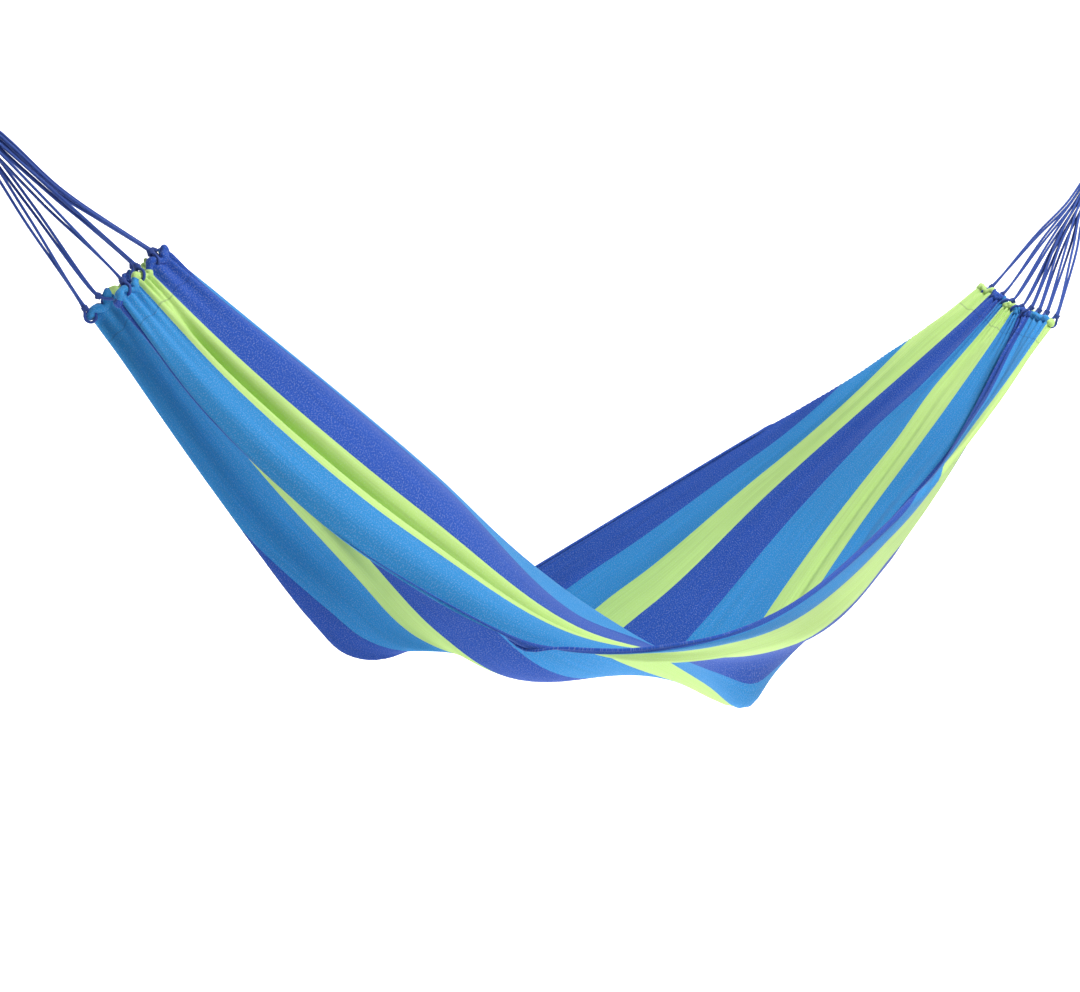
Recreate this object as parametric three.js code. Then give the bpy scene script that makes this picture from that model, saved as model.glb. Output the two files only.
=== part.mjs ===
// Striped canvas hammock, 2 m by 0.8 m bed, hung by doubled cords from a steel ring at each end.
// Millimetres. X runs from the left hang point to the right one, Y away from the viewer, +Z up.
// The origin is where a hook carries the left ring.

import * as THREE from "three";

const SPAN = 2040;
const CLOTH = 2.5;
const STRIPES = 11;
const CELLS_PER_STRIPE = 3;
const CELLS_ALONG = 40;

// The share of a cell at which the first free thread gives the cloth its direction off the hem.
const HEM_LEAD = 0.25;
const HEM_OUTER = 8;
const HEM_INNER = 4;
const HEM_CORD = 6;
const CORD = 4.2;
const CORDS_PER_END = 8;
const CORD_PITCH = 5.7;
const GAP = 0.4;

const RING_WIRE = 6;
const RING_MEAN_RADIUS = 22;
const EYE_RADIUS = 6;
const EYE_HOLE = 5.5;
const WHIP_START = 57;
const WHIP_END = 85;
const WHIP_INNER = 14.4;
const WHIP_OUTER = 17;

// Five lines along the cloth, each from the left hem to the right one. On the left the two ridge
// lines carry the cloth over a ridge, and on the right they are the bottom of a trough.
const BED_LINES = {
  farEdge: [
    [250, 50, -350], [430, 160, -600], [595, 215, -830], [750, 235, -880], [970, 240, -770],
    [1390, 220, -550], [1790, 70, -280],
  ],
  backWall: [
    [290, 45, -305], [620, 190, -640], [820, 205, -845], [990, 200, -930], [1210, 200, -820],
    [1450, 180, -620], [1800, 45, -290],
  ],
  backRidge: [
    [330, 20, -275], [715, 40, -570], [960, 10, -765], [1270, -10, -965], [1490, 40, -735],
    [1695, 20, -475], [1820, 10, -320],
  ],
  frontRidge: [
    [345, 0, -260], [710, -60, -570], [940, -100, -790], [1270, -90, -870], [1530, -50, -715],
    [1720, -20, -505], [1825, -5, -325],
  ],
  nearEdge: [
    [270, -50, -325], [365, -100, -490], [565, -210, -690], [820, -290, -785], [1085, -330, -785],
    [1440, -215, -635], [1705, -100, -475], [1828, -75, -345],
  ],
};
// How far the front flap bellies out, level, halfway between its lines and halfway along.
const FLAP_BELLY = 50;

// How many stripes from the far edge each line runs, the bellied one being the last but one.
const LINE_PLACES = [0, 3, 6, 7, 9, 11];

const group = new THREE.Group();

const cotton = (color) => new THREE.MeshStandardMaterial({ color, roughness: 0.9, metalness: 0 });
const canvas = cotton(0x3e9fdb);
const hemCanvas = cotton(0x3c5fc4);
const cordBlue = cotton(0x2f4f9f);
const cordInner = cotton(0xd8d4c4);
const steel = new THREE.MeshStandardMaterial({ color: 0xb8bcc0, roughness: 0.25, metalness: 1 });

function add(name, geometry, material) {
  const mesh = new THREE.Mesh(geometry, material);
  mesh.name = name;
  group.add(mesh);
}

function vec(p) {
  return new THREE.Vector3(p[0], p[1], p[2]);
}

function solid(vertices, triangles) {
  const flat = vertices.flatMap((v) => [v.x, v.y, v.z]);
  const geometry = new THREE.BufferGeometry();
  geometry.setAttribute("position", new THREE.Float32BufferAttribute(flat, 3));
  geometry.setIndex(triangles.flat());
  return geometry;
}

// Frames that travel along a line without twisting.
function frames(line) {
  const along = line.map((p, i) => {
    const before = line[Math.max(i - 1, 0)];
    const after = line[Math.min(i + 1, line.length - 1)];
    return after.clone().sub(before).normalize();
  });
  const side = new THREE.Vector3(0, 1, 0);
  return line.map((p, i) => {
    side.addScaledVector(along[i], -side.dot(along[i])).normalize();
    return { p, a: side.clone(), b: along[i].clone().cross(side) };
  });
}

// A round bar along a line, with as many rings as the line has points.
function bar(line, radius, sides) {
  const vertices = [];
  const triangles = [];
  const rings = frames(line);
  for (const { p, a, b } of rings) {
    for (let k = 0; k < sides; k++) {
      const turn = (2 * Math.PI * k) / sides;
      const out = a.clone().multiplyScalar(radius * Math.cos(turn));
      vertices.push(out.addScaledVector(b, radius * Math.sin(turn)).add(p));
    }
  }
  for (let i = 0; i + 1 < rings.length; i++) {
    for (let k = 0; k < sides; k++) {
      const q = i * sides;
      const next = (k + 1) % sides;
      triangles.push([q + k, q + next, q + sides + next]);
      triangles.push([q + k, q + sides + next, q + sides + k]);
    }
  }
  const last = (rings.length - 1) * sides;
  for (let k = 1; k + 1 < sides; k++) {
    triangles.push([0, k + 1, k]);
    triangles.push([last, last + k, last + k + 1]);
  }
  return solid(vertices, triangles);
}

// A tube along a line, open at both ends.
function pipe(line, outer, inner, sides) {
  const vertices = [];
  const triangles = [];
  const rings = frames(line);
  for (const { p, a, b } of rings) {
    for (const radius of [outer, inner]) {
      for (let k = 0; k < sides; k++) {
        const turn = (2 * Math.PI * k) / sides;
        const out = a.clone().multiplyScalar(radius * Math.cos(turn));
        vertices.push(out.addScaledVector(b, radius * Math.sin(turn)).add(p));
      }
    }
  }
  const quad = (p, q, r, s) => triangles.push([p, q, r], [p, r, s]);
  const step = 2 * sides;
  for (let i = 0; i + 1 < rings.length; i++) {
    for (let k = 0; k < sides; k++) {
      const n = (k + 1) % sides;
      const o = i * step;
      const w = o + sides;
      quad(o + k, o + n, o + step + n, o + step + k);
      quad(w + n, w + k, w + step + k, w + step + n);
    }
  }
  const end = (rings.length - 1) * step;
  for (let k = 0; k < sides; k++) {
    const n = (k + 1) % sides;
    quad(k, sides + k, sides + n, n);
    quad(end + n, end + sides + n, end + sides + k, end + k);
  }
  return solid(vertices, triangles);
}

// The bed's middle surface. A crosswise thread meets every line at the same share of its length,
// and is a smooth curve through the five lines and the bellied one on the flap.
const curves = Object.values(BED_LINES).map(
  (points) => new THREE.CatmullRomCurve3(points.map(vec), false, "centripetal"),
);

function crossThread(along) {
  const points = curves.map((curve) => curve.getPointAt(along));
  const near = points.pop();
  const flap = points[3].clone().lerp(near, 0.5);
  flap.y -= FLAP_BELLY * Math.sin(Math.PI * along);
  return new THREE.CatmullRomCurve3([...points, flap, near], false, "centripetal");
}

// The point of a crosswise thread at a number of stripes from the far edge.
function stripePoint(thread, stripe) {
  const next = Math.max(LINE_PLACES.findIndex((place) => place >= stripe), 1);
  const from = LINE_PLACES[next - 1];
  const share = (stripe - from) / (LINE_PLACES[next] - from);
  return thread.getPoint((next - 1 + share) / (LINE_PLACES.length - 1));
}

// The cloth stops at the rolled hems, so its first and last rows stand off the hem lines.
const across = STRIPES * CELLS_PER_STRIPE;
const hemThreads = [crossThread(0), crossThread(1)];
const rows = [];
for (let j = 0; j <= CELLS_ALONG; j++) {
  const hem = { 0: hemThreads[0], [CELLS_ALONG]: hemThreads[1] }[j];
  const inward = Math.min(Math.max(j, HEM_LEAD), CELLS_ALONG - HEM_LEAD);
  const thread = crossThread(inward / CELLS_ALONG);
  const row = [];
  for (let i = 0; i <= across; i++) {
    const p = stripePoint(thread, i / CELLS_PER_STRIPE);
    if (hem) {
      const start = stripePoint(hem, i / CELLS_PER_STRIPE);
      p.sub(start).setLength(HEM_OUTER + CLOTH / 2 + GAP).add(start);
    }
    row.push(p);
  }
  rows.push(row);
}

function bed() {
  const vertices = [];
  const triangles = [];
  const at = (i, j) => rows[Math.min(Math.max(j, 0), CELLS_ALONG)][Math.min(Math.max(i, 0), across)];
  const normal = (i, j) => {
    const u = at(i + 1, j).clone().sub(at(i - 1, j));
    const v = at(i, j + 1).clone().sub(at(i, j - 1));
    return u.cross(v).normalize();
  };
  const id = (i, j, under) => (j * (across + 1) + i) * 2 + under;
  for (let j = 0; j <= CELLS_ALONG; j++) {
    for (let i = 0; i <= across; i++) {
      const n = normal(i, j).multiplyScalar(CLOTH / 2);
      vertices.push(at(i, j).clone().add(n), at(i, j).clone().sub(n));
    }
  }
  const quad = (p, q, r, s) => triangles.push([p, q, r], [p, r, s]);
  for (let j = 0; j < CELLS_ALONG; j++) {
    for (let i = 0; i < across; i++) {
      quad(id(i, j, 0), id(i + 1, j, 0), id(i + 1, j + 1, 0), id(i, j + 1, 0));
      quad(id(i, j, 1), id(i, j + 1, 1), id(i + 1, j + 1, 1), id(i + 1, j, 1));
    }
  }
  for (let j = 0; j < CELLS_ALONG; j++) {
    quad(id(0, j, 1), id(0, j, 0), id(0, j + 1, 0), id(0, j + 1, 1));
    quad(id(across, j, 0), id(across, j, 1), id(across, j + 1, 1), id(across, j + 1, 0));
  }
  const last = CELLS_ALONG;
  for (let i = 0; i < across; i++) {
    quad(id(i, 0, 1), id(i + 1, 0, 1), id(i + 1, 0, 0), id(i, 0, 0));
    quad(id(i, last, 0), id(i + 1, last, 0), id(i + 1, last, 1), id(i, last, 1));
  }
  return solid(vertices, triangles);
}

add("bed_fabric", bed(), canvas);

// One end: ring, eye, whipping, doubled cords, and the rolled hem with its cord.
function end(side, hang, hem) {
  const hemMiddle = hem.getPoint(0).add(hem.getPoint(1)).add(hem.getPoint(0.5));
  const down = hemMiddle.multiplyScalar(1 / 3).sub(hang);
  down.y = 0;
  down.normalize();
  const depth = new THREE.Vector3(0, 1, 0);
  const level = depth.clone().cross(down);
  const place = (along, y, across) =>
    hang.clone().addScaledVector(down, along).addScaledVector(depth, y).addScaledVector(level, across);

  const ring = new THREE.TorusGeometry(RING_MEAN_RADIUS, RING_WIRE / 2, 12, 40);
  ring.rotateX(Math.PI / 2);
  const ringInner = RING_MEAN_RADIUS - RING_WIRE / 2;
  const middle = place(ringInner, 0, 0);
  ring.translate(middle.x, middle.y, middle.z);
  add(`${side}_ring`, ring, steel);

  const wire = ringInner + RING_MEAN_RADIUS;
  const arc = wire - RING_WIRE / 2 - GAP + EYE_HOLE;
  const reach = EYE_HOLE + EYE_RADIUS;
  const legEnd = (WHIP_START + WHIP_END) / 2 - 0.5;
  const leg = EYE_RADIUS + 0.6;
  const eye = [place(legEnd, leg, 0), place(WHIP_START, leg, 0), place(WHIP_START - 4, leg + 1, 0)];
  for (let k = 0; k <= 8; k++) {
    const turn = (Math.PI * k) / 8;
    eye.push(place(arc - reach * Math.sin(turn), reach * Math.cos(turn), 0));
  }
  eye.push(place(WHIP_START - 4, -leg - 1, 0), place(WHIP_START, -leg, 0), place(legEnd, -leg, 0));
  add(`${side}_eye`, bar(eye, EYE_RADIUS, 10), cordBlue);

  const whip = [place(WHIP_START, 0, 0), place(WHIP_END, 0, 0)];
  add(`${side}_whipping`, pipe(whip, WHIP_OUTER, WHIP_INNER, 20), cordBlue);

  const hemRow = hem.getSpacedPoints(24);
  add(`${side}_end_hem`, pipe(hemRow, HEM_OUTER, HEM_INNER, 10), hemCanvas);
  add(`${side}_hem_cord`, bar(hemRow, HEM_CORD / 2, 8), cordInner);

  const cordTop = (WHIP_START + WHIP_END) / 2 + 0.5;
  // Where each strand lies in the square bundle at the neck, in pitches from its middle.
  const seat = (n, strand) => {
    if (n < 4) return [1.5 - strand, 1.5 - n];
    if (side === "left") return [-0.5 - strand, n - 5.5];
    return [n < 6 ? -0.5 : -1.5, 1.5 - strand - 2 * (n % 2)];
  };
  for (let n = 0; n < CORDS_PER_END; n++) {
    const share = 0.03 + (0.94 * n) / (CORDS_PER_END - 1);
    const foot = hem.getPointAt(share);
    const tangent = hem.getTangentAt(share);
    const tops = [0, 1].map((strand) => {
      const [y, high] = seat(n, strand);
      return [cordTop, WHIP_END + 4].map((along) => place(along, y * CORD_PITCH, high * CORD_PITCH));
    });
    const away = tops[0][1].clone().sub(foot);
    away.addScaledVector(tangent, -away.dot(tangent)).normalize();
    const lift = HEM_OUTER + CORD / 2 + GAP;
    const half = CORD * 0.9;
    const bend = (x, up) =>
      foot.clone().addScaledVector(away, lift + up).addScaledVector(tangent, -half * x);
    const turn = [1, 0.7, 0, -0.7, -1].map((x) => bend(x, half * (1 - Math.sqrt(1 - x * x))));
    const line = [tops[0][0], tops[0][1], bend(1, 14), ...turn, bend(-1, 14), tops[1][1], tops[1][0]];
    add(`${side}_cord_${n + 1}`, bar(line, CORD / 2, 6), cordBlue);
  }
}

end("left", new THREE.Vector3(0, 0, 0), hemThreads[0]);
end("right", new THREE.Vector3(SPAN, 0, 0), hemThreads[1]);

export default group;
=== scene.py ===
import math

import bpy
import numpy as np
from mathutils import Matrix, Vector


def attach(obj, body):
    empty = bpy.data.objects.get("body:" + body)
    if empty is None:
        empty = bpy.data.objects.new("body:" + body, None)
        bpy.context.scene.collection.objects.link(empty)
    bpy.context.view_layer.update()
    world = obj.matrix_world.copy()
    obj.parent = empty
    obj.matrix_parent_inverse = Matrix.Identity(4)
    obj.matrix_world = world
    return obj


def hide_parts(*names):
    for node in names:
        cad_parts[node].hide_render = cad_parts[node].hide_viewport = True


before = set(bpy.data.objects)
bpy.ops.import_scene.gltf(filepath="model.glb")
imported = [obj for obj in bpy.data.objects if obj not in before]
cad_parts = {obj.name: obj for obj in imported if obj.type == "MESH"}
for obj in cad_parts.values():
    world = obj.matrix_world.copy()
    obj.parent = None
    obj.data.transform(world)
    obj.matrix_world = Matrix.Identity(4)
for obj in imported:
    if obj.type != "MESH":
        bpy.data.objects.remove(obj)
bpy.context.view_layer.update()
print("frame loaded")

view = dict(target=(0.91, 0.0, -0.61), azimuth=-25, elevation=4, distance=2.755, lens=60)


def aim(thing, place, target):
    thing.location = place
    thing.rotation_euler = (Vector(target) - Vector(place)).to_track_quat("-Z", "Y").to_euler()
    bpy.context.scene.collection.objects.link(thing)


def makeCamera():
    side, up = math.radians(view["azimuth"]), math.radians(view["elevation"])
    back = Vector((math.sin(side) * math.cos(up), -math.cos(side) * math.cos(up), math.sin(up)))
    data = bpy.data.cameras.new("camera")
    data.lens = view["lens"]
    data.clip_end = 60
    camera = bpy.data.objects.new("camera", data)
    aim(camera, Vector(view["target"]) + back * view["distance"], view["target"])
    bpy.context.scene.camera = camera


makeCamera()

studio = dict(
    floor=-1.42, wall=3.4, sweep=1.2, width=16, front=-9, seam=-0.5,
    key=dict(place=(2.1, -2.2, 2.0), size=0.8, power=150),
    fill=dict(place=(-1.6, -2.8, 0.4), size=2.2, power=8),
    top=dict(place=(1.0, 0.9, 2.4), size=2.0, power=26),
    sky=0.12, glow=0.9,
)


def paperPiece(name, profile, tone, glow):
    half = studio["width"] / 2
    points = [(x, y, z) for y, z in profile for x in (1 - half, 1 + half)]
    faces = [(2 * i, 2 * i + 1, 2 * i + 3, 2 * i + 2) for i in range(len(profile) - 1)]
    mesh = bpy.data.meshes.new(name)
    mesh.from_pydata(points, [], faces)
    mesh.shade_smooth()
    paper = bpy.data.materials.new(name)
    paper.use_nodes = True
    shader = paper.node_tree.nodes["Principled BSDF"]
    shader.inputs["Base Color"].default_value = (tone, tone, tone, 1)
    shader.inputs["Roughness"].default_value = 1
    shader.inputs["Emission Color"].default_value = (1, 1, 1, 1)
    shader.inputs["Emission Strength"].default_value = glow
    mesh.materials.append(paper)
    piece = bpy.data.objects.new(name, mesh)
    bpy.context.scene.collection.objects.link(piece)


def makeStudio():
    # floor, a round corner and a back wall, lit from within so that they stay white
    profile = [(studio["front"], studio["floor"]), (studio["seam"], studio["floor"])]
    paperPiece("studio_front", profile, 0.8, 0.0)
    profile = profile[1:]
    for angle in np.linspace(0, math.pi / 2, 13):
        profile.append((
            studio["wall"] + studio["sweep"] * math.sin(angle),
            studio["floor"] + studio["sweep"] * (1 - math.cos(angle)),
        ))
    profile.append((studio["wall"] + studio["sweep"], 7.0))
    paperPiece("studio_sweep", profile, 0.95, studio["glow"])
    for name in ("key", "fill", "top"):
        lamp = bpy.data.lights.new(name, "AREA")
        lamp.size = studio[name]["size"]
        lamp.energy = studio[name]["power"]
        aim(bpy.data.objects.new(name, lamp), studio[name]["place"], view["target"])
    world = bpy.data.worlds.new("sky")
    world.use_nodes = True
    world.node_tree.nodes["Background"].inputs["Color"].default_value = (1, 1, 1, 1)
    world.node_tree.nodes["Background"].inputs["Strength"].default_value = studio["sky"]
    bpy.context.scene.world = world
    bpy.context.scene.view_settings.view_transform = "Standard"


makeStudio()
print("camera and studio made")


class Signal:
    # a node's output, so that shader maths can be written as Python
    def __init__(self, finish, socket):
        self.finish = finish
        self.socket = socket

    def __add__(self, other):
        return self.finish.maths("ADD", self, other)

    def __sub__(self, other):
        return self.finish.maths("SUBTRACT", self, other)

    def __rsub__(self, other):
        return self.finish.maths("SUBTRACT", other, self)

    def __mul__(self, other):
        return self.finish.maths("MULTIPLY", self, other)

    def __gt__(self, other):
        return self.finish.maths("GREATER_THAN", self, other)

    def __lt__(self, other):
        return self.finish.maths("LESS_THAN", self, other)

    def __truediv__(self, other):
        return self.finish.maths("DIVIDE", self, other)

    def __rtruediv__(self, other):
        return self.finish.maths("DIVIDE", other, self)

    __radd__ = __add__
    __rmul__ = __mul__


class Finish:
    def __init__(self, name, **shader):
        self.material = bpy.data.materials.new(name)
        self.material.use_nodes = True
        self.tree = self.material.node_tree
        self.shader = self.tree.nodes["Principled BSDF"]
        for socket, value in shader.items():
            self.shader.inputs[socket.replace("_", " ")].default_value = value

    def node(self, kind, settings=None, inputs=None, out=0):
        node = self.tree.nodes.new("ShaderNode" + kind)
        for key, value in (settings or {}).items():
            if key == "stops":
                ramp = node.color_ramp
                while len(ramp.elements) < len(value):
                    ramp.elements.new(1)
                for element, (position, color) in zip(ramp.elements, value):
                    element.position = position
                    element.color = color
            elif key == "ramp":
                node.color_ramp.interpolation = value
            else:
                setattr(node, key, value)
        for key, value in (inputs or {}).items():
            self.feed(node.inputs[key], value)
        return Signal(self, node.outputs[out])

    def feed(self, socket, value):
        if isinstance(value, Signal):
            self.tree.links.new(value.socket, socket)
        else:
            socket.default_value = value

    def maths(self, operation, *values):
        return self.node("Math", dict(operation=operation), dict(enumerate(values)))

    def mix(self, share, first, second, how="MIX"):
        settings = dict(data_type="RGBA", blend_type=how)
        return self.node("Mix", settings, {0: share, 6: first, 7: second}, out=2)

    def surface(self, **sockets):
        for socket, value in sockets.items():
            self.feed(self.shader.inputs[socket.replace("_", " ")], value)

    def bump(self, height, strength, distance):
        inputs = dict(Strength=strength, Distance=distance, Height=height)
        self.surface(Normal=self.node("Bump", None, inputs))


def shade(code):
    # "3c5fc4" to linear light
    parts = [int(code[i:i + 2], 16) / 255 for i in (0, 2, 4)]
    return tuple(p / 12.92 if p < 0.04045 else ((p + 0.055) / 1.055) ** 2.4 for p in parts) + (1,)


cloth = dict(
    royal="214dab", light="2c88ca", lime="bde084", weft="e2edf2", thread="1d2f5e",
    order="royal light lime royal light lime light royal lime light royal".split(),
    width=0.8, length=2.0, sleeve=0.042, sideHem=0.010, stitch=0.0032, stitchGap=0.28,
    endSeam=0.0011, sideSeam=0.0009, warpPitch=0.0011, weftPitch=0.0013, fray=0.0016,
)
stripeCount = len(cloth["order"])


def makeCanvas():
    canvas = Finish("striped_canvas", Roughness=0.88, Sheen_Weight=0.08, Sheen_Roughness=0.5)
    canvas.shader.inputs["Specular IOR Level"].default_value = 0.2
    uv = canvas.node("UVMap", dict(uv_map="UVMap"))
    across = canvas.node("SeparateXYZ", None, {0: uv}, out=0)
    along = canvas.node("SeparateXYZ", None, {0: uv}, out=1)

    def grain(perMetreAcross, perMetreAlong, detail=1.0):
        scale = (cloth["width"] * perMetreAcross, cloth["length"] * perMetreAlong, 1)
        place = canvas.node("Mapping", None, dict(Vector=uv, Scale=scale))
        return canvas.node("TexNoise", None, dict(Vector=place, Scale=1.0, Detail=detail))

    fray = grain(260, 700) - 0.5
    edge = across + fray * cloth["fray"]
    stops = [(i / stripeCount, shade(cloth[name])) for i, name in enumerate(cloth["order"])]
    stripes = canvas.node("ValToRGB", dict(ramp="CONSTANT", stops=stops), dict(Fac=edge))
    # pale weft shows between the coloured warp threads, and dye varies from thread to thread
    weft = (grain(520, 520, 2.0) - 0.5) * 0.75
    pale = canvas.mix(canvas.maths("MAXIMUM", weft, 0.0), stripes, shade(cloth["weft"]))
    slub = grain(330, 5, 2.0)
    worn = grain(9, 5, 3.0)
    tone = (slub - 0.5) * 0.32 + (worn - 0.5) * 0.22 + 0.97
    shadow = canvas.node("CombineColor", None, {0: tone, 1: tone, 2: tone})
    color = canvas.mix(1.0, pale, shadow, "MULTIPLY")
    # the seams: across each end's sleeve, and along both side hems
    fromEnd = canvas.maths("MINIMUM", along, 1 - along) * cloth["length"]
    fromSide = canvas.maths("MINIMUM", across, 1 - across) * cloth["width"]
    endSeam = canvas.maths("ABSOLUTE", fromEnd - cloth["sleeve"]) < cloth["endSeam"]
    sideSeam = canvas.maths("ABSOLUTE", fromSide - cloth["sideHem"]) < cloth["sideSeam"]
    endRepeat = canvas.maths("FRACT", across * cloth["width"] / cloth["stitch"])
    sideRepeat = canvas.maths("FRACT", along * cloth["length"] / cloth["stitch"])
    endStitch = endSeam * (endRepeat > cloth["stitchGap"])
    sideStitch = sideSeam * (sideRepeat > cloth["stitchGap"])
    stitched = canvas.maths("MAXIMUM", endStitch, sideStitch)
    color = canvas.mix(stitched * 0.35, color, shade(cloth["thread"]))
    canvas.surface(Base_Color=color, Roughness=0.8 + weft * 0.2)
    threads = canvas.maths("SINE", across * (cloth["width"] * 2 * math.pi / cloth["warpPitch"]))
    picks = canvas.maths("SINE", along * (cloth["length"] * 2 * math.pi / cloth["weftPitch"]))
    groove = canvas.maths("MAXIMUM", endSeam, sideSeam)
    height = threads * picks * 0.35 + grain(500, 500, 2.0) * 0.5 + worn * 0.8 - groove * 1.6
    canvas.bump(height, 0.5, 0.0006)
    return canvas.material


def makeRope(name, dark, pale, strand=0.0028, **shader):
    # plied cotton: pale flecks, darker between the plies
    rope = Finish(name, Sheen_Weight=0.15, **shader)
    place = rope.node("TexCoord", out=3)
    fleck = rope.node("TexNoise", None, dict(Vector=place, Scale=900.0, Detail=2.0))
    patch = rope.node("TexNoise", None, dict(Vector=place, Scale=14.0, Detail=2.0))
    share = rope.maths("MAXIMUM", (fleck - 0.45) * 1.6 + (patch - 0.5) * 0.5, 0.0)
    rope.surface(Base_Color=rope.mix(share, shade(dark), shade(pale)), Roughness=0.72 + fleck * 0.25)
    fuzz = rope.node("TexNoise", None, dict(Vector=place, Scale=1 / strand, Detail=3.0))
    rope.bump(fuzz + fleck * 0.5, 0.6, 0.0006)
    return rope.material


def makeSteel():
    steel = Finish("ring_steel", Metallic=1.0)
    place = steel.node("TexCoord", out=3)
    scratch = steel.node("TexNoise", None, dict(Vector=place, Scale=420.0, Detail=4.0))
    haze = steel.node("TexNoise", None, dict(Vector=place, Scale=60.0, Detail=3.0))
    steel.surface(
        Base_Color=steel.mix(haze, shade("b9bec3"), shade("d5d9dc")),
        Roughness=0.16 + haze * 0.2,
    )
    steel.bump(scratch, 0.15, 0.0002)
    return steel.material


canvasCloth = makeCanvas()
cordBlue = makeRope("cord_blue", "22408f", "4a6fc0")
whipBlue = makeRope("whipping_blue", "1e3980", "3c5fb0", strand=0.002)
hemCotton = makeRope("hem_cotton", "cfc8b2", "f0ecdf")
ringSteel = makeSteel()
print("finishes made")

# five lines along the cloth, in millimetres: the CAD bed's, with a few points moved or added
bedLines = dict(
    farEdge=[
        (250, 50, -350), (440, 160, -594), (617, 215, -818), (676, 228, -872), (750, 235, -882),
        (970, 240, -770), (1390, 220, -550), (1590, 150, -427), (1790, 70, -280),
    ],
    backWall=[
        (290, 45, -305), (620, 190, -640), (820, 205, -845), (990, 200, -930), (1210, 200, -820),
        (1450, 180, -620), (1800, 45, -290),
    ],
    backRidge=[
        (330, 20, -275), (715, 40, -570), (960, 10, -765), (1205, -8, -922), (1270, -10, -965),
        (1314, -2, -919), (1490, 40, -735), (1695, 20, -475), (1820, 10, -320),
    ],
    frontRidge=[
        (345, 0, -260), (710, -60, -570), (940, -100, -790), (1270, -90, -870), (1530, -50, -715),
        (1720, -20, -505), (1825, -5, -325),
    ],
    nearEdge=[
        (270, -50, -325), (376, -100, -481), (578, -207, -681), (812, -290, -796), (1085, -330, -785),
        (1440, -215, -635), (1705, -100, -475), (1828, -75, -345),
    ],
)


def lengths(points):
    steps = np.linalg.norm(np.diff(points, axis=0), axis=-1)
    return np.concatenate([np.zeros((1,) + steps.shape[1:]), np.cumsum(steps, axis=0)])


def unit(vectors):
    return vectors / np.maximum(np.linalg.norm(vectors, axis=-1, keepdims=True), 1e-12)


def smoothAt(knots, where):
    # a centripetal curve through the knots, at places counted in knots; one curve per column
    knots = np.asarray(knots, float)
    padded = np.concatenate([[2 * knots[0] - knots[1]], knots, [2 * knots[-1] - knots[-2]]])
    first = np.clip(np.floor(where).astype(int), 0, len(knots) - 2)
    share = (where - first)[..., None]
    if knots.ndim == 2:
        a, b, c, d = (padded[first + k] for k in range(4))
    else:
        column = np.broadcast_to(np.arange(knots.shape[1]), first.shape)
        a, b, c, d = (padded[first + k, column] for k in range(4))
    gaps = [np.sqrt(np.linalg.norm(q - p, axis=-1, keepdims=True)) for p, q in ((a, b), (b, c), (c, d))]
    u, v, w = (np.maximum(g, 1e-6) for g in gaps)
    leave = ((b - a) / u - (c - a) / (u + v) + (c - b) / v) * v
    arrive = ((c - b) / v - (d - b) / (v + w) + (d - c) / w) * v
    square = share * share
    return (
        b + leave * share + (3 * (c - b) - 2 * leave - arrive) * square
        + (2 * (b - c) + leave + arrive) * square * share
    )


def alongLine(points, shares):
    # points at equal shares of the line's own length
    fine = smoothAt(np.array(points) / 1000, np.linspace(0, len(points) - 1, 1200))
    run = lengths(fine)
    return np.stack([np.interp(shares * run[-1], run, fine[:, k]) for k in range(3)], axis=1)


def crossThreads(shares):
    far, wall, back, front, near = (alongLine(points, shares) for points in bedLines.values())
    flap = (front + near) / 2
    flap[:, 1] -= bed["belly"] * np.sin(math.pi * shares) * changing("belly", shares)
    return np.array([far, wall, back, front, flap, near])


def ease(x, low, high):
    share = np.clip((x - low) / (high - low), 0, 1)
    return share * share * (3 - 2 * share)


folds = [
    # stripe, width, depth in mm, from, to, as shares of the length
    dict(at=8.47, wide=0.21, deep=-24, start=0.0, end=0.56),
    dict(at=9.55, wide=0.42, deep=9, start=0.01, end=0.45),
    dict(at=7.55, wide=0.36, deep=7, start=0.01, end=0.42),
    dict(at=9.95, wide=0.28, deep=-11, start=0.0, end=0.46),
    dict(at=1.55, wide=0.24, deep=8, start=0.005, end=0.36),
    dict(at=2.40, wide=0.30, deep=-13, start=0.01, end=0.38),
    dict(at=5.45, wide=0.13, deep=-6, start=0.55, end=0.97),
    dict(at=6.55, wide=0.24, deep=-7, start=0.66, end=0.99),
    dict(at=3.40, wide=0.20, deep=-5, start=0.60, end=0.98),
    dict(at=7.60, wide=0.22, deep=-10, start=0.70, end=0.99),
    dict(at=8.60, wide=0.30, deep=5, start=0.50, end=0.80),
]

bed = dict(
    across=231, along=196, crowd=0.45, thickness=0.0011,
    roll=0.010, foldGap=0.004,
    pleats=31, pleatDepth=0.0042, pleatReach=0.050,
    runs=13, runDepth=0.0045, runReach=0.30,
    ripple=0.0022, scallop=0.012, scallopReach=0.045,
    casing=0.0052, edgeRoll=0.0018, edgeTurns=6, belly=0.05, seed=11,
)


def wander(values, waves, rng):
    # a smooth random line, about 1 high
    total = np.zeros_like(values)
    for k in range(1, waves + 1):
        total += np.sin(2 * math.pi * k * values * rng.uniform(0.7, 1.3) + rng.uniform(0, 2 * math.pi)) / k
    return total / 1.4


def crowdedShares(count):
    # rows lie closer together near the two hems
    even = np.linspace(0, 1, count + 1)
    return even - bed["crowd"] * np.sin(2 * math.pi * even) / (2 * math.pi)


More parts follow.
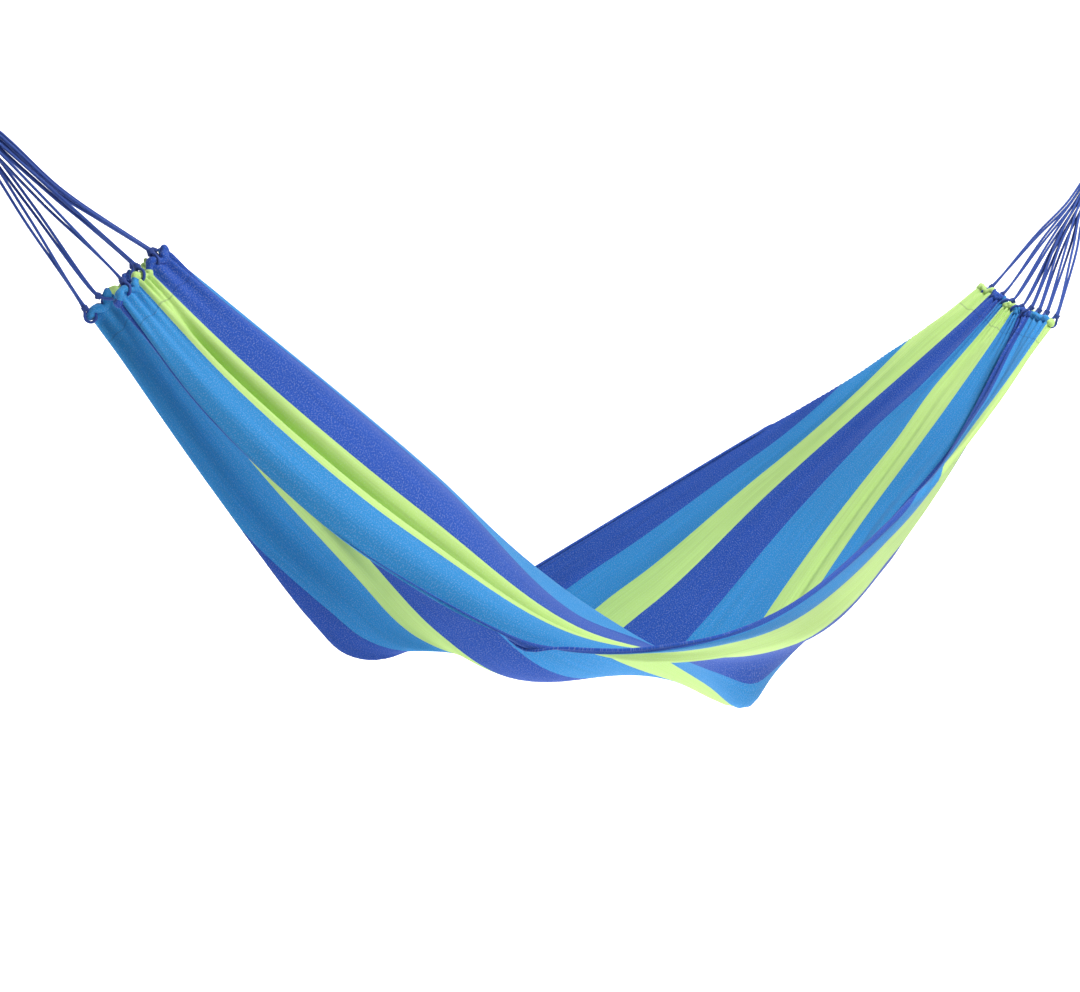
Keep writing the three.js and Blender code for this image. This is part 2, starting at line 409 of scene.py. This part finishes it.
takeUps = [
    # a stripe's edge that is drawn over by so many stripes, from and to as shares of the length
    dict(at=2, by=0.52, wide=0.95, start=-1, end=0.46),
    dict(at=8, by=0.16, wide=0.5, start=-1, end=0.55),
    dict(at=9, by=-0.16, wide=0.5, start=-1, end=0.45),
    dict(at=7, by=-0.45, wide=0.9, start=0.40, end=0.92),
    dict(at=9, by=0.40, wide=0.6, start=0.44, end=0.98),
    dict(at=8, by=0.35, wide=0.8, start=0.56, end=0.77),
    dict(at=8, by=-0.70, wide=0.9, start=0.70, end=2),
    dict(at=10, by=-0.20, wide=0.5, start=0.74, end=1.0),
    dict(at=10, by=0.65, wide=0.6, start=0.90, end=2),
    dict(at=4, by=0.28, wide=0.6, start=0.84, end=2),
    dict(at=5, by=-0.28, wide=0.6, start=0.84, end=2),
]


strips = dict(
    # each starts at its first value and then changes by so much, from and to as shares of the length
    farFold=(1.25, (-1.25, 0.18, 0.43), (2.15, 0.76, 0.96)),  # in stripes
    nearFold=(9.85, (-1.6, 0.72, 0.88)),
    nearTurn=(-168, (168, 0.34, 0.43), (176, 0.43, 0.50)),  # in degrees
    nearWidth=(1, (-0.93, 0.28, 0.40), (0.13, 0.50, 0.60), (0.55, 0.70, 0.84), (0.15, 0.86, 1.0)),
    belly=(1, (-0.9, 0.62, 0.82)),
    gather=(0.34, (0.66, 0, 0.24)),  # counted from the nearer end
)


def changing(name, shares):
    value, *changes = strips[name]
    for by, start, end in changes:
        value = value + by * ease(shares, start, end)
    return value


def between(shares, start, end):
    return ease(shares, start, start + 0.08) * (1 - ease(shares, end - 0.16, end))


def bedSurface(stripes, shares):
    threads = crossThreads(shares)
    stripe = np.repeat(stripes[:, None], len(shares), axis=1)
    for take in takeUps:
        gap = (stripes - take["at"]) / take["wide"]
        span = between(shares, take["start"], take["end"])
        stripe = stripe + take["by"] * np.exp(-gap * gap)[:, None] * span
    # near the ends the outer stripes are rolled under, and the near edge curls all along
    firstStripe = changing("farFold", shares)
    # the thread nearest the far fold lies exactly on it
    stripe[np.argmin(abs(stripe - firstStripe), axis=0), np.arange(len(shares))] = firstStripe
    lastStripe = changing("nearFold", shares)
    # the stripes that the five lines and the flap's middle lie on
    ridges = [np.full(len(shares), float(number)) for number in (3, 6, 7)]
    places = np.array([firstStripe, *ridges, (7 + lastStripe) / 2, lastStripe])
    held = np.clip(stripe, firstStripe, lastStripe)
    where = np.zeros_like(held)
    for k in range(5):
        step = (held - places[k]) / (places[k + 1] - places[k])
        where = np.where(held >= places[k], k + np.clip(step, 0, 1), where)
    surface = smoothAt(threads, where)
    # the rolled strips, each a round turn and then straight
    pitch = cloth["width"] / stripeCount * changing("gather", np.minimum(shares, 1 - shares))
    nearTurn = np.radians(changing("nearTurn", shares))
    edge = threads[5]
    out = unit(edge - smoothAt(threads, np.full(len(shares), 4.9)))
    inner = unit(np.cross(out, unit(np.gradient(edge, axis=0))))
    turn = np.where(abs(nearTurn) < 0.02, 0.02, nearTurn)
    over = np.maximum(stripe - lastStripe, 0) * pitch * changing("nearWidth", shares)
    roll = bed["roll"] * math.pi / 2
    bent = np.minimum(over, roll) / roll * turn
    radius = roll / turn
    rest = np.maximum(over - roll, 0)
    surface += (radius * np.sin(bent) + rest * np.cos(turn))[..., None] * out
    surface += (radius * (1 - np.cos(bent)) + rest * np.sin(turn))[..., None] * inner
    return surface, stripe, firstStripe


def tuckFarStrip(surface, stripe, firstStripe, shares):
    # the far edge is folded over, and lies against the wall: on one side of it at the
    # left end and on the other at the right
    normals = surfaceNormals(surface)
    for j, (share, first) in enumerate(zip(shares, firstStripe)):
        hidden = stripe[:, j] < first
        if not hidden.any():
            continue
        against = 2 * first - stripe[hidden, j]
        over = (first - stripe[hidden, j]) * cloth["width"] / stripeCount
        lift = (1 if share < 0.5 else -1) * bed["foldGap"] * (1 - np.exp(-over / bed["foldGap"]))
        for k in range(3):
            wall = np.interp(against, stripe[~hidden, j], surface[~hidden, j, k])
            normal = np.interp(against, stripe[~hidden, j], normals[~hidden, j, k])
            surface[hidden, j, k] = wall + lift * normal
    return surface


def surfaceNormals(surface):
    u = np.gradient(surface, axis=0)
    v = np.gradient(surface, axis=1)
    normal = np.cross(u, v)
    size = np.linalg.norm(normal, axis=2, keepdims=True)
    return normal / np.maximum(size, 1e-12)


def pleatWave(stripes):
    rng = np.random.default_rng(bed["seed"])
    phase = bed["pleats"] * stripes / stripeCount + 0.35 * wander(stripes / stripeCount, 9, rng)
    size = 1 + 0.35 * wander(stripes / stripeCount, 14, rng)
    return size * np.cos(2 * math.pi * phase)


def foldHeights(stripes, shares):
    rng = np.random.default_rng(bed["seed"] + 1)
    fromEnd = np.minimum(shares, 1 - shares) * cloth["length"]
    grow = ease(fromEnd, 0.0, 0.012)
    pleats = pleatWave(stripes)
    height = bed["pleatDepth"] * pleats[:, None] * (np.exp(-fromEnd / bed["pleatReach"]) * grow)[None]
    uneven = 0.5 * wander(stripes / stripeCount, 5, rng)
    runs = np.cos(2 * math.pi * (bed["runs"] * stripes / stripeCount + uneven))
    fade = np.exp(-fromEnd / bed["runReach"]) * ease(fromEnd, 0.0, 0.09)
    height += bed["runDepth"] * runs[:, None] * fade[None]
    for fold in folds:
        span = between(shares, fold["start"], fold["end"])
        drift = fold["at"] + 0.08 * np.sin(5 * shares + fold["at"])
        gap = (stripes[:, None] - drift[None]) / fold["wide"]
        height += fold["deep"] / 1000 * np.exp(-gap * gap) * span[None]
    for k in range(10):
        sideways, lengthways, lag = rng.uniform(8, 26), rng.uniform(4, 14), rng.uniform(0, 6.3)
        wave = np.sin(sideways * stripes[:, None] / stripeCount * 2 + lengthways * shares[None] + lag)
        height += bed["ripple"] / 4 * wave * ease(fromEnd, 0.02, 0.3)[None]
    return height


rig = dict(
    span=2.04, cords=8, cord=0.0042, pitch=0.0057, whipStart=0.057, whipEnd=0.085, whipTop=0.0157,
    whipTwine=0.0011, ringRadius=0.022, ringWire=0.006, eyeRadius=0.006, eyeHole=0.0055,
    first=0.03, last=0.97, hitchTwine=0.0011, hemCord=0.003,
    pullReach=0.013, exit=0.0715, throat=0.004, neck=0.0125, grip=0.53, apart=0.55,
    upper=dict(share=0.74, left=0.25, right=0.4), lower=dict(share=0.45, middle=0.35, outer=0.08),
    hug=(60, 95, 140, 180, 220, 265, 300),
    hitchTurns=4, hitch=(-0.003, 0.004), eyeStrands=6,
)


class End:
    # one end's axis and hem line, as the CAD model lays them out
    def __init__(self, side):
        self.side = side
        self.hang = np.array([0.0 if side == "left" else rig["span"], 0, 0])
        knots = crossThreads(np.array([0.0 if side == "left" else 1.0]))[:, 0]
        down = smoothAt(knots, np.array([0, 2.5, 5])).mean(axis=0) - self.hang
        self.down = unit(down * (1, 0, 1))
        self.depth = np.array([0.0, 1, 0])
        self.level = np.cross(self.depth, self.down)
        self.line = smoothAt(knots, np.linspace(0, 5, 400))
        self.run = lengths(self.line)

    def place(self, along, y=0.0, across=0.0):
        return self.hang + self.down * along + self.depth * y + self.level * across

    def hem(self, share):
        return np.array([np.interp(share * self.run[-1], self.run, self.line[:, k]) for k in range(3)])

    def holds(self):
        return [self.hem(share) for share in np.linspace(rig["first"], rig["last"], rig["cords"])]


ends = [End("left"), End("right")]


def pulled(row, end):
    # how strongly the cords pull each point of the hem, 1 at a cord
    gaps = [np.linalg.norm(row - hold, axis=1) for hold in end.holds()]
    return np.exp(-((np.min(gaps, axis=0) / rig["pullReach"]) ** 2))


def rolledEdge(surface, first):
    # the side hem: the last threads turn round into a narrow roll
    inner, edge = (surface[4], surface[0]) if first else (surface[-5], surface[-1])
    out = unit(edge - inner)
    run = unit(np.gradient(edge, axis=0))
    normal = unit(np.cross(run, out) if first else np.cross(out, run))
    radius = bed["edgeRoll"]
    turns = np.radians(np.arange(1, bed["edgeTurns"] + 1) * 52)
    rows = [edge + radius * (math.sin(a) * out + (1 - math.cos(a)) * normal) for a in turns]
    return np.array(rows[::-1] if first else rows)


def insideCloth(across):
    # keeps the pattern's places inside the cloth's own width
    return np.clip(across, 0.0005, 0.9995)


def gridPiece(name, surface, across, along):
    rows, columns = surface.shape[:2]
    mesh = bpy.data.meshes.new(name)
    number = np.arange(rows * columns).reshape(rows, columns)
    corners = [number[:-1, :-1], number[1:, :-1], number[1:, 1:], number[:-1, 1:]]
    faces = np.stack(corners, axis=-1).reshape(-1, 4)
    mesh.from_pydata(surface.reshape(-1, 3).tolist(), [], faces.tolist())
    layer = mesh.uv_layers.new(name="UVMap")
    spots = np.stack(np.broadcast_arrays(across[:, None], along[None]), axis=-1).reshape(-1, 2)
    layer.data.foreach_set("uv", spots[faces.ravel()].astype(np.float32).ravel())
    mesh.shade_smooth()
    mesh.materials.append(canvasCloth)
    piece = bpy.data.objects.new(name, mesh)
    bpy.context.scene.collection.objects.link(piece)
    skin = piece.modifiers.new("thickness", "SOLIDIFY")
    skin.thickness = bed["thickness"]
    skin.offset = 0
    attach(piece, "hammock")
    return piece


def makeBed():
    stripes = np.linspace(0, stripeCount, bed["across"] + 1)
    shares = crowdedShares(bed["along"])
    surface, stripe, firstStripe = bedSurface(stripes, shares)
    surface = surface + surfaceNormals(surface) * foldHeights(stripes, shares)[..., None]
    surface = tuckFarStrip(surface, stripe, firstStripe, shares)
    hems = []
    for end, fromEnd, column in ((ends[0], shares, 0), (ends[1], 1 - shares, -1)):
        reach = np.exp(-((fromEnd * cloth["length"] / bed["scallopReach"]) ** 2))
        pull = bed["scallop"] * pulled(surface[:, column], end)[:, None] * -end.down
        surface = surface + pull[:, None] * reach[None, :, None]
        hems.append(surface[:, column])
    surface = np.concatenate([rolledEdge(surface, True), surface, rolledEdge(surface, False)])
    turns = bed["edgeTurns"]
    across = np.concatenate([np.zeros(turns), stripes / stripeCount, np.ones(turns)])
    piece = gridPiece("bed_cloth", surface, insideCloth(across), shares)
    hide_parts("bed_fabric")
    return piece, hems


def makeCasing(end, row):
    # the sleeve at one end, gathered on the hem cord
    stripes = np.linspace(0, stripeCount, bed["across"] + 1)
    run = unit(np.gradient(row, axis=0))
    back = unit(end.down - run * (run @ end.down)[:, None])
    side = np.cross(run, back)
    turns = np.linspace(0, 2 * math.pi, 17)
    ruffle = 0.20 * pleatWave(stripes)[:, None] * (1 - 0.3 * np.cos(turns))[None]
    wave = 0.10 * np.cos(3 * turns[None] + 2 * np.sin(stripes * 4.1)[:, None])
    size = (bed["casing"] * (1 + ruffle + wave))[..., None]
    around = np.cos(turns)[None, :, None] * back[:, None] + np.sin(turns)[None, :, None] * side[:, None]
    surface = row[:, None] + size * around
    along = np.abs(turns - math.pi) / math.pi * 0.008
    if end.side == "right":
        along = 1 - along
        surface, along = surface[:, ::-1], along[::-1]
    piece = gridPiece(end.side + "_casing", surface, insideCloth(stripes / stripeCount), along)
    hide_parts(end.side + "_end_hem")
    return piece


def strand(name, points, radius, material, body="hammock", closed=False):
    curve = bpy.data.curves.new(name, "CURVE")
    curve.dimensions = "3D"
    curve.bevel_depth = 1.0
    curve.bevel_resolution = 3
    curve.use_fill_caps = not closed
    spline = curve.splines.new("POLY")
    spline.points.add(len(points) - 1)
    for spot, point in zip(spline.points, points):
        spot.co = (*point, 1)
        spot.radius = radius
    spline.use_cyclic_u = closed
    spline.use_smooth = True
    curve.materials.append(material)
    piece = bpy.data.objects.new(name, curve)
    bpy.context.scene.collection.objects.link(piece)
    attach(piece, body)
    return piece


def makeHemCord(end, row):
    piece = strand(end.side + "_rope", row[1:-1:2], rig["hemCord"], hemCotton)
    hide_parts(end.side + "_hem_cord")
    return piece


bedCloth, hemRows = makeBed()
casings = [makeCasing(end, row) for end, row in zip(ends, hemRows)]
hemCords = [makeHemCord(end, row) for end, row in zip(ends, hemRows)]
print("bed made")


def seat(side, cord, half):
    # where each strand lies in the neck's square bundle, in pitches from its middle
    if cord < 4:
        return 1.5 - half, 1.5 - cord
    if side == "left":
        return -0.5 - half, cord - 5.5
    return (-0.5 if cord < 6 else -1.5), 1.5 - half - 2 * (cord % 2)


def coil(start, stop, radius, turns, around=None):
    # a close winding about the line from start to stop
    axis = unit(stop - start)
    first = unit(np.cross(axis, (0, 1, 0) if around is None else around))
    second = np.cross(axis, first)
    share = np.linspace(0, 1, int(turns * 16) + 1)[:, None]
    angle = share * turns * 2 * math.pi
    return start + (stop - start) * share + radius * (np.cos(angle) * first + np.sin(angle) * second)


def makeCord(end, cord, row):
    foot = end.holds()[cord]
    nearest = int(np.argmin(np.linalg.norm(row - foot, axis=1)))
    centre = row[nearest]
    run = unit(row[min(nearest + 3, len(row) - 1)] - row[max(nearest - 3, 0)])
    tops = []
    for half in (0, 1):
        y, high = (rig["pitch"] * steps for steps in seat(end.side, cord, half))
        tops.append([end.place(along, y, high) for along in (rig["exit"], rig["whipEnd"] + rig["throat"])])
    away = tops[0][1] - centre
    away = unit(away - run * (away @ run))
    sideways = np.cross(run, away)
    reach = bed["casing"] * 1.1 + rig["cord"] / 2
    if sideways[1] * (tops[0][1] - tops[1][1])[1] < 0:
        sideways = -sideways
    # down one side of the casing, round it, and up the other
    hug = []
    for turn in np.radians(rig["hug"]):
        offset = reach * (math.cos(turn) * away + math.sin(turn) * sideways)
        hug.append(centre + offset + run * rig["cord"] * rig["apart"] * math.cos(turn / 2))
    neck = centre + away * rig["neck"]
    grip = rig["cord"] * rig["grip"]
    inward, outward = neck + sideways * grip, neck - sideways * grip
    middle = end.place(0.0)
    # the strands are drawn in towards the end's axis at two places on their way
    upper, lower = rig["upper"], rig["lower"]
    draws = (
        (upper["share"], upper[end.side]),
        (lower["share"], lower["middle"] if 3 <= cord <= 5 else lower["outer"]),
    )
    mids = []
    for half, foothold in ((0, inward), (1, outward)):
        beside = end.level * rig["cord"] * rig["apart"] * (1 - 2 * half)
        for share, draw in draws:
            spot = foothold * (1 - share) + tops[half][1] * share + beside
            axis = middle + end.down * ((spot - middle) @ end.down) + beside
            mids.append(spot + (axis - spot) * draw)
    knots = [*tops[0], *mids[:2], inward, *hug, outward, *mids[:1:-1], *tops[1][::-1]]
    line = smoothAt(np.array(knots), np.linspace(0, len(knots) - 1, 15 * (len(knots) - 1) + 1))
    name = f"{end.side}_cord_{cord + 1}"
    piece = strand(name + "_line", line, rig["cord"] / 2, cordBlue)
    bottom, top = (neck + away * distance for distance in rig["hitch"])
    winding = coil(bottom, top, rig["cord"] * 0.98, rig["hitchTurns"], run)
    hitch = strand(name + "_hitch", winding, rig["hitchTwine"], whipBlue)
    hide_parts(name)
    size = float(lengths(line)[-1])
    return size


def makeNeck(end):
    wire, radius = rig["ringWire"], rig["ringRadius"]
    turns = np.linspace(0, 2 * math.pi, 96, endpoint=False)[:, None]
    centre = end.place(radius - wire / 2)
    circle = centre + radius * np.concatenate([np.cos(turns), 0 * turns, np.sin(turns)], axis=1)
    ring = strand(end.side + "_steel_ring", circle, wire / 2, ringSteel, "hang_rings", closed=True)
    ring.data.bevel_resolution = 8
    # the eye is a bundle of the cords' own strands, turned about each other
    arc = 2 * radius - wire - 0.0004 + rig["eyeHole"]
    reach, leg = rig["eyeHole"] + rig["eyeRadius"], rig["eyeRadius"] + 0.0006
    below = (rig["whipStart"] + rig["whipEnd"]) / 2
    spread = (rig["whipStart"] - rig["throat"], leg + 0.001)
    knots = [end.place(below, leg), end.place(rig["whipStart"], leg), end.place(*spread)]
    for turn in np.radians(np.linspace(0, 180, 9)):
        knots.append(end.place(arc - reach * math.sin(turn), reach * math.cos(turn)))
    knots += [end.place(spread[0], -spread[1]), end.place(rig["whipStart"], -leg), end.place(below, -leg)]
    line = smoothAt(np.array(knots), np.linspace(0, len(knots) - 1, 120))
    run = unit(np.gradient(line, axis=0))
    side = np.broadcast_to(end.level, run.shape)
    other = np.cross(run, side)
    for k in range(rig["eyeStrands"] + 1):
        # the last strand is the bundle's straight core
        off = 0 if k == rig["eyeStrands"] else rig["eyeRadius"] * 0.66
        angle = 2 * math.pi * k / rig["eyeStrands"] + np.linspace(0, 2.4 * math.pi, len(line))[:, None]
        bundle = line + off * (np.cos(angle) * side + np.sin(angle) * other)
        strand(f"{end.side}_eye_strand_{k + 1}", bundle, rig["eyeRadius"] * 0.33, cordBlue)
    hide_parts(end.side + "_eye")
    turnsCount = (rig["whipEnd"] - rig["whipStart"]) / (2 * rig["whipTwine"])
    winding = coil(end.place(rig["whipStart"]), end.place(rig["whipEnd"]), rig["whipTop"], turnsCount)
    whip = strand(end.side + "_winding", winding, rig["whipTwine"] * 1.05, whipBlue)
    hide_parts(end.side + "_whipping")
    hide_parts(end.side + "_ring")


cordSizes = [[makeCord(end, cord, row) for cord in range(rig["cords"])] for end, row in zip(ends, hemRows)]
print("cord lengths", [[round(size, 3) for size in sizes] for sizes in cordSizes])
for end in ends:
    makeNeck(end)
print("cords, eyes, whippings and rings made")
